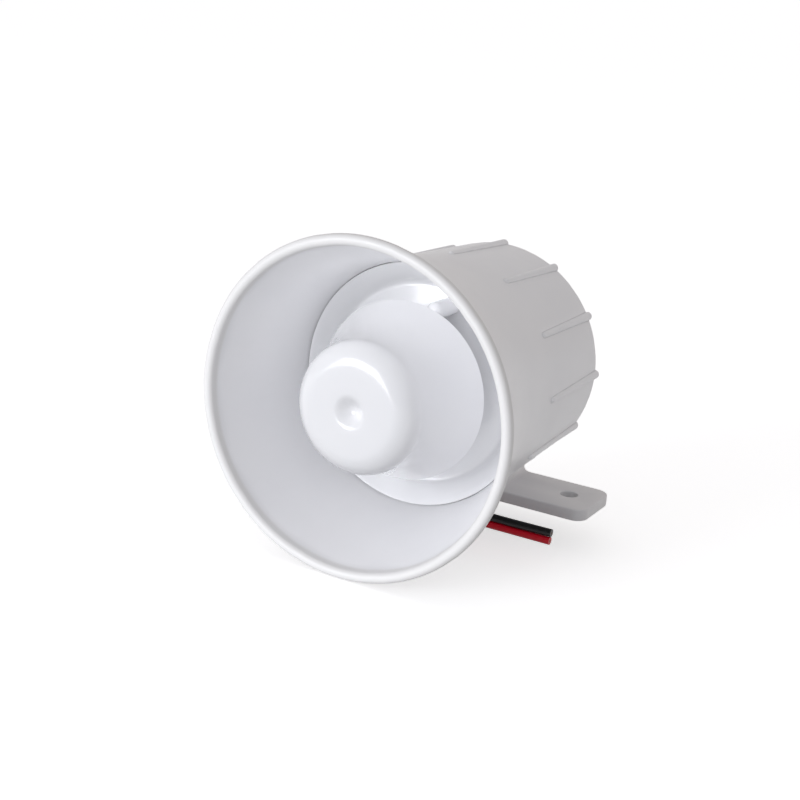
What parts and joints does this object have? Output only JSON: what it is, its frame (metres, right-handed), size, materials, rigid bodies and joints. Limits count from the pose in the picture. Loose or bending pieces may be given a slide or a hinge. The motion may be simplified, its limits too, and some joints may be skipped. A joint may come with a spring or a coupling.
{
  "type": "alarm siren",
  "caption": "White 12 V horn siren: flared round mouth, reflex bullet, ribbed barrel with driver inside, screw-down foot and two flying leads.",
  "frame": {"origin": "midway between the two foot screw holes, on the foot's underside", "axes": "horn axis along Y with the mouth facing -Y, +Z from the foot towards the horn, X along the foot's ears"},
  "size_m": [0.09, 0.0845, 0.09],
  "materials": {
    "abs_white": "satin moulded ABS",
    "abs_gloss": "polished moulded ABS",
    "foam": "closed-cell foam",
    "steel": "zinc-plated",
    "ferrite": "sintered, matt",
    "frame_black": "moulded",
    "phenolic": "resin-bonded cloth",
    "copper": "enamelled copper",
    "tinned": "tinned brass",
    "board_green": "solder mask",
    "epoxy_black": "moulded epoxy",
    "capacitor_blue": "printed sleeve, no lettering",
    "resistor_tan": "lacquer",
    "rubber_black": "moulded rubber",
    "nylon": "natural nylon",
    "pvc_black": "PVC insulation",
    "pvc_red": "PVC insulation"
  },
  "bodies": {
    "siren": {"horn_shell": "abs_white", "throat_dish": "abs_gloss", "dish_seal": "foam", "horn_bullet": "abs_gloss", "bullet_screws": "steel", "driver_frame": "frame_black", "diaphragm_ring": "phenolic", "top_plate": "steel", "magnet": "ferrite", "yoke": "steel", "driver_screws": "steel", "terminal_strip": "phenolic", "solder_tags": "tinned", "coil_wires": "copper", "circuit_board": "board_green", "siren_chip": "epoxy_black", "power_transistors": "epoxy_black", "capacitor": "capacitor_blue", "resistors": "resistor_tan", "diode": "epoxy_black", "board_screws": "steel", "rear_cover": "abs_white", "cover_seal": "foam", "cover_screws": "steel", "lead_grommet": "rubber_black", "lead_tie": "nylon", "board_lead_black": "pvc_black", "board_lead_red": "pvc_red", "lead_black": "pvc_black", "lead_red": "pvc_red"},
    "diaphragm_unit": {"diaphragm": "phenolic", "coil_former": "phenolic", "voice_coil": "copper"}
  },
  "joints": [
    {"name": "diaphragm_travel", "type": "slide", "parent": "siren", "child": "diaphragm_unit", "axis": [0, 1, 0], "range_m": [-0.0004, 0.0004], "stiffness_N_per_m": 400}
  ]
}
